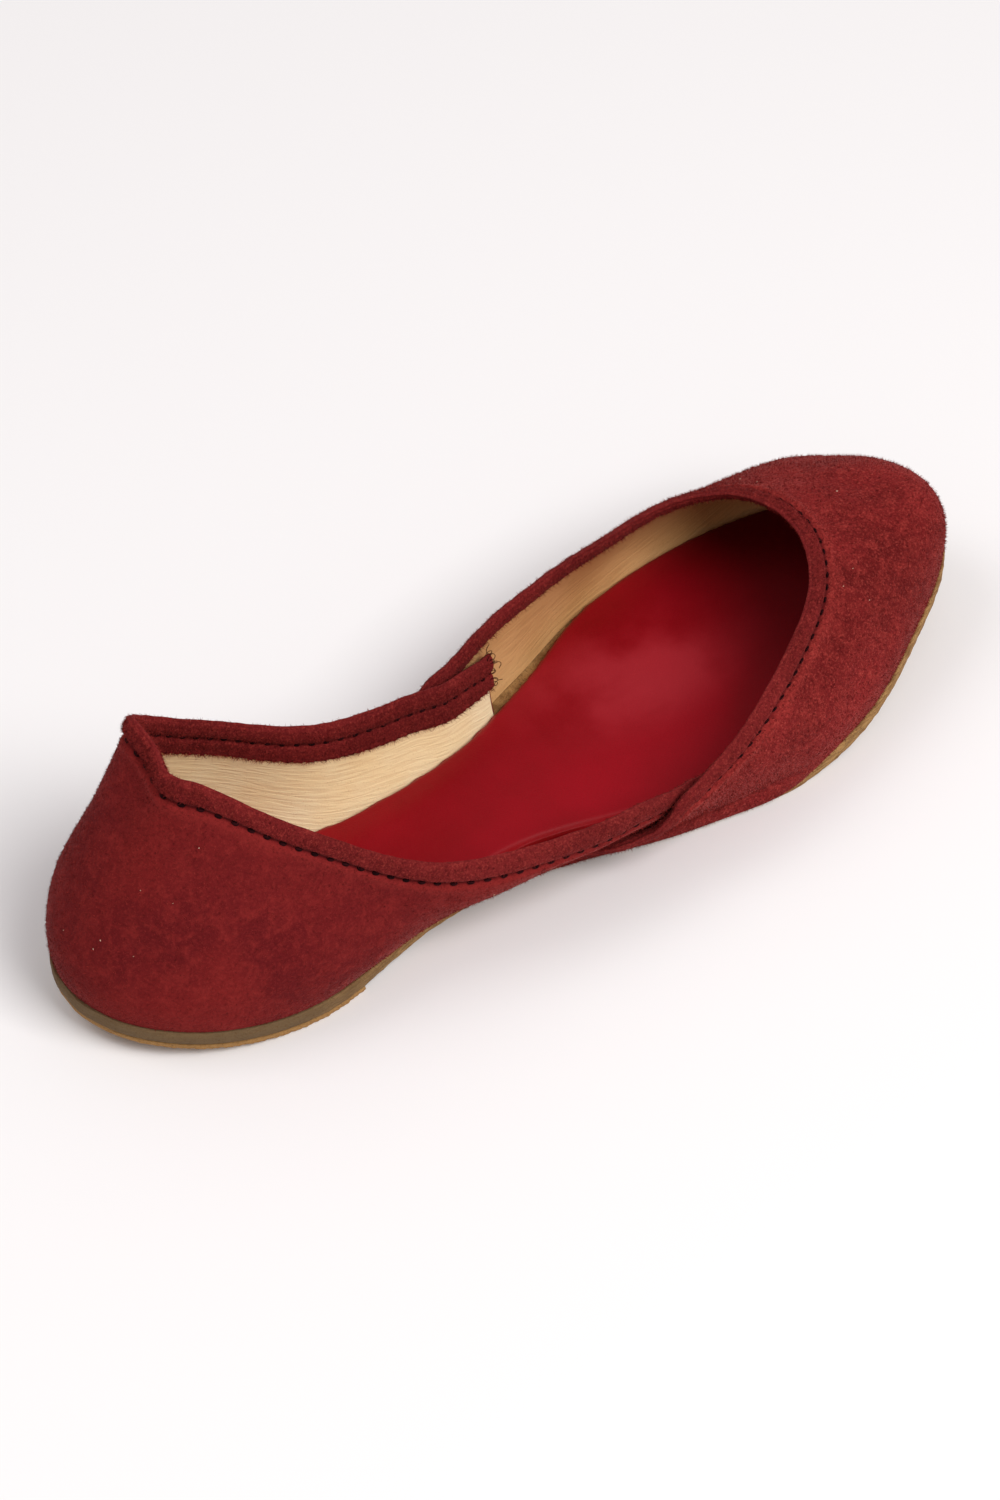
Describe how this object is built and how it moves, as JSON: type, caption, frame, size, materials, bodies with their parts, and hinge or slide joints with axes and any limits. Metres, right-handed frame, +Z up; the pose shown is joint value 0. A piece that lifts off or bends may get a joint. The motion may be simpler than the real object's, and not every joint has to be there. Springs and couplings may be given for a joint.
{
  "type": "mojari shoe",
  "caption": "Flat slip-on suede shoe with a low pointed vamp lapped over a heel quarter, folded top binding, red padded insole and flat leather sole.",
  "frame": {"origin": "on the floor, under the middle of the shoe's bounding box", "axes": "+X from heel to toe along the shoe's length, +Y to the wearer's left, which is the inner side of this right shoe, +Z up"},
  "size_m": [0.2536, 0.0904, 0.0708],
  "materials": {
    "sole_leather": "raw vegetable-tanned leather",
    "lift_leather": "raw vegetable-tanned leather",
    "insole_leather": "smooth red leather with a soft sheen",
    "suede": "matt burgundy suede, cream leather lining",
    "binding_suede": "matt burgundy suede"
  },
  "bodies": {
    "root": {"outsole": "sole_leather", "heel_lift": "lift_leather", "insole": "insole_leather", "upper_quarter": "suede", "upper_vamp": "suede", "quarter_binding": "binding_suede", "vamp_binding": "binding_suede"}
  },
  "joints": []
}
